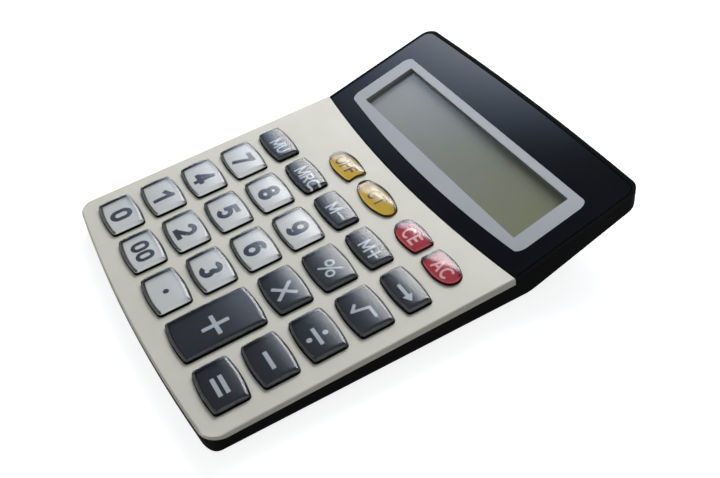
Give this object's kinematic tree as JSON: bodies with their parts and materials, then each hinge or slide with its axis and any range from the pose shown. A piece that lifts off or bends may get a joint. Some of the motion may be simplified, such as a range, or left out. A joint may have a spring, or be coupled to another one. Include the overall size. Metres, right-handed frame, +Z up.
{
  "type": "desk calculator",
  "caption": "Desk calculator with a bowed key plate, separate push keys over a silicone mat, a tilted gloss display head and a sliding battery door underneath.",
  "frame": {"origin": "on the table, under the middle of the case", "axes": "+X to the right of the user, +Y from the user to the display, +Z up"},
  "size_m": [0.15, 0.1914, 0.0289],
  "materials": {
    "case_black": "fine satin",
    "plate_white": "pale champagne satin",
    "panel_black": "high gloss",
    "clear_window": "clear",
    "lcd_glass": "grey-green, blank",
    "holder_white": "plain moulding",
    "ribbon_amber": "flexible film",
    "mat_silicone": "silicone",
    "board_green": "solder mask",
    "resin_black": "resin",
    "screw_steel": "zinc plated",
    "cell_sleeve": "plain printed sleeve",
    "contact_steel": "nickel plated",
    "lead_red": "insulated wire",
    "lead_black": "insulated wire",
    "foot_rubber": "soft rubber",
    "key_grey": "light grey under a clear gloss cap",
    "key_charcoal": "charcoal under a clear gloss cap",
    "key_yellow": "yellow under a clear gloss cap",
    "key_red": "red under a clear gloss cap",
    "key_clear": "clear gloss cap over the coloured core of a key",
    "frame_silver": "silver print round the display opening"
  },
  "bodies": {
    "housing": {"bottom_case": "case_black", "keypad_plate": "plate_white", "head_cover": "panel_black", "display_window": "clear_window", "lcd_cell": "lcd_glass", "lcd_holder": "holder_white", "lcd_ribbon": "ribbon_amber", "keypad_mat": "mat_silicone", "circuit_board": "board_green", "chip": "resin_black", "board_screws": "screw_steel", "case_screws": "screw_steel", "battery_cell": "cell_sleeve", "battery_spring": "contact_steel", "battery_contact": "contact_steel", "lead_red": "lead_red", "lead_black": "lead_black", "rubber_feet": "foot_rubber"},
    "key_0": {"key_0": "key_grey"},
    "key_00": {"key_00": "key_grey"},
    "key_point": {"key_point": "key_grey"},
    "key_1": {"key_1": "key_grey"},
    "key_2": {"key_2": "key_grey"},
    "key_3": {"key_3": "key_grey"},
    "key_4": {"key_4": "key_grey"},
    "key_5": {"key_5": "key_grey"},
    "key_6": {"key_6": "key_grey"},
    "key_7": {"key_7": "key_grey"},
    "key_8": {"key_8": "key_grey"},
    "key_9": {"key_9": "key_grey"},
    "key_plus": {"key_plus": "key_charcoal"},
    "key_equals": {"key_equals": "key_charcoal"},
    "key_minus": {"key_minus": "key_charcoal"},
    "key_times": {"key_times": "key_charcoal"},
    "key_divide": {"key_divide": "key_charcoal"},
    "key_percent": {"key_percent": "key_charcoal"},
    "key_root": {"key_root": "key_charcoal"},
    "key_mu": {"key_mu": "key_charcoal"},
    "key_mrc": {"key_mrc": "key_charcoal"},
    "key_m_minus": {"key_m_minus": "key_charcoal"},
    "key_m_plus": {"key_m_plus": "key_charcoal"},
    "key_arrow": {"key_arrow": "key_charcoal"},
    "key_off": {"key_off": "key_yellow"},
    "key_gt": {"key_gt": "key_yellow"},
    "key_ce": {"key_ce": "key_red"},
    "key_ac": {"key_ac": "key_red"},
    "battery_door": {"battery_door": "case_black"}
  },
  "joints": [
    {"name": "press_0", "type": "slide", "parent": "housing", "child": "key_0", "axis": [0, 0.0305, -0.9995], "range_m": [0, 0.0012], "stiffness_N_per_m": 300, "springref_m": -0.001, "deforming": ["keypad_mat"]},
    {"name": "press_00", "type": "slide", "parent": "housing", "child": "key_00", "axis": [0, 0.0305, -0.9995], "range_m": [0, 0.0012], "stiffness_N_per_m": 300, "springref_m": -0.001, "deforming": ["keypad_mat"]},
    {"name": "press_point", "type": "slide", "parent": "housing", "child": "key_point", "axis": [0, 0.0305, -0.9995], "range_m": [0, 0.0012], "stiffness_N_per_m": 300, "springref_m": -0.001, "deforming": ["keypad_mat"]},
    {"name": "press_1", "type": "slide", "parent": "housing", "child": "key_1", "axis": [0, 0.0305, -0.9995], "range_m": [0, 0.0012], "stiffness_N_per_m": 300, "springref_m": -0.001, "deforming": ["keypad_mat"]},
    {"name": "press_2", "type": "slide", "parent": "housing", "child": "key_2", "axis": [0, 0.0305, -0.9995], "range_m": [0, 0.0012], "stiffness_N_per_m": 300, "springref_m": -0.001, "deforming": ["keypad_mat"]},
    {"name": "press_3", "type": "slide", "parent": "housing", "child": "key_3", "axis": [0, 0.0305, -0.9995], "range_m": [0, 0.0012], "stiffness_N_per_m": 300, "springref_m": -0.001, "deforming": ["keypad_mat"]},
    {"name": "press_4", "type": "slide", "parent": "housing", "child": "key_4", "axis": [0, 0.0305, -0.9995], "range_m": [0, 0.0012], "stiffness_N_per_m": 300, "springref_m": -0.001, "deforming": ["keypad_mat"]},
    {"name": "press_5", "type": "slide", "parent": "housing", "child": "key_5", "axis": [0, 0.0305, -0.9995], "range_m": [0, 0.0012], "stiffness_N_per_m": 300, "springref_m": -0.001, "deforming": ["keypad_mat"]},
    {"name": "press_6", "type": "slide", "parent": "housing", "child": "key_6", "axis": [0, 0.0305, -0.9995], "range_m": [0, 0.0012], "stiffness_N_per_m": 300, "springref_m": -0.001, "deforming": ["keypad_mat"]},
    {"name": "press_7", "type": "slide", "parent": "housing", "child": "key_7", "axis": [0, 0.0305, -0.9995], "range_m": [0, 0.0012], "stiffness_N_per_m": 300, "springref_m": -0.001, "deforming": ["keypad_mat"]},
    {"name": "press_8", "type": "slide", "parent": "housing", "child": "key_8", "axis": [0, 0.0305, -0.9995], "range_m": [0, 0.0012], "stiffness_N_per_m": 300, "springref_m": -0.001, "deforming": ["keypad_mat"]},
    {"name": "press_9", "type": "slide", "parent": "housing", "child": "key_9", "axis": [0, 0.0305, -0.9995], "range_m": [0, 0.0012], "stiffness_N_per_m": 300, "springref_m": -0.001, "deforming": ["keypad_mat"]},
    {"name": "press_plus", "type": "slide", "parent": "housing", "child": "key_plus", "axis": [0, 0.0305, -0.9995], "range_m": [0, 0.0012], "stiffness_N_per_m": 300, "springref_m": -0.001, "deforming": ["keypad_mat"]},
    {"name": "press_equals", "type": "slide", "parent": "housing", "child": "key_equals", "axis": [0, 0.0305, -0.9995], "range_m": [0, 0.0012], "stiffness_N_per_m": 300, "springref_m": -0.001, "deforming": ["keypad_mat"]},
    {"name": "press_minus", "type": "slide", "parent": "housing", "child": "key_minus", "axis": [0, 0.0305, -0.9995], "range_m": [0, 0.0012], "stiffness_N_per_m": 300, "springref_m": -0.001, "deforming": ["keypad_mat"]},
    {"name": "press_times", "type": "slide", "parent": "housing", "child": "key_times", "axis": [0, 0.0305, -0.9995], "range_m": [0, 0.0012], "stiffness_N_per_m": 300, "springref_m": -0.001, "deforming": ["keypad_mat"]},
    {"name": "press_divide", "type": "slide", "parent": "housing", "child": "key_divide", "axis": [0, 0.0305, -0.9995], "range_m": [0, 0.0012], "stiffness_N_per_m": 300, "springref_m": -0.001, "deforming": ["keypad_mat"]},
    {"name": "press_percent", "type": "slide", "parent": "housing", "child": "key_percent", "axis": [0, 0.0305, -0.9995], "range_m": [0, 0.0012], "stiffness_N_per_m": 300, "springref_m": -0.001, "deforming": ["keypad_mat"]},
    {"name": "press_root", "type": "slide", "parent": "housing", "child": "key_root", "axis": [0, 0.0305, -0.9995], "range_m": [0, 0.0012], "stiffness_N_per_m": 300, "springref_m": -0.001, "deforming": ["keypad_mat"]},
    {"name": "press_mu", "type": "slide", "parent": "housing", "child": "key_mu", "axis": [0, 0.0305, -0.9995], "range_m": [0, 0.0012], "stiffness_N_per_m": 300, "springref_m": -0.001, "deforming": ["keypad_mat"]},
    {"name": "press_mrc", "type": "slide", "parent": "housing", "child": "key_mrc", "axis": [0, 0.0305, -0.9995], "range_m": [0, 0.0012], "stiffness_N_per_m": 300, "springref_m": -0.001, "deforming": ["keypad_mat"]},
    {"name": "press_m_minus", "type": "slide", "parent": "housing", "child": "key_m_minus", "axis": [0, 0.0305, -0.9995], "range_m": [0, 0.0012], "stiffness_N_per_m": 300, "springref_m": -0.001, "deforming": ["keypad_mat"]},
    {"name": "press_m_plus", "type": "slide", "parent": "housing", "child": "key_m_plus", "axis": [0, 0.0305, -0.9995], "range_m": [0, 0.0012], "stiffness_N_per_m": 300, "springref_m": -0.001, "deforming": ["keypad_mat"]},
    {"name": "press_arrow", "type": "slide", "parent": "housing", "child": "key_arrow", "axis": [0, 0.0305, -0.9995], "range_m": [0, 0.0012], "stiffness_N_per_m": 300, "springref_m": -0.001, "deforming": ["keypad_mat"]},
    {"name": "press_off", "type": "slide", "parent": "housing", "child": "key_off", "axis": [0, 0.0305, -0.9995], "range_m": [0, 0.0012], "stiffness_N_per_m": 300, "springref_m": -0.001, "deforming": ["keypad_mat"]},
    {"name": "press_gt", "type": "slide", "parent": "housing", "child": "key_gt", "axis": [0, 0.0305, -0.9995], "range_m": [0, 0.0012], "stiffness_N_per_m": 300, "springref_m": -0.001, "deforming": ["keypad_mat"]},
    {"name": "press_ce", "type": "slide", "parent": "housing", "child": "key_ce", "axis": [0, 0.0305, -0.9995], "range_m": [0, 0.0012], "stiffness_N_per_m": 300, "springref_m": -0.001, "deforming": ["keypad_mat"]},
    {"name": "press_ac", "type": "slide", "parent": "housing", "child": "key_ac", "axis": [0, 0.0305, -0.9995], "range_m": [0, 0.0012], "stiffness_N_per_m": 300, "springref_m": -0.001, "deforming": ["keypad_mat"]},
    {"name": "door_slide", "type": "slide", "parent": "housing", "child": "battery_door", "axis": [0, 1, 0], "range_m": [0, 0.02]}
  ]
}
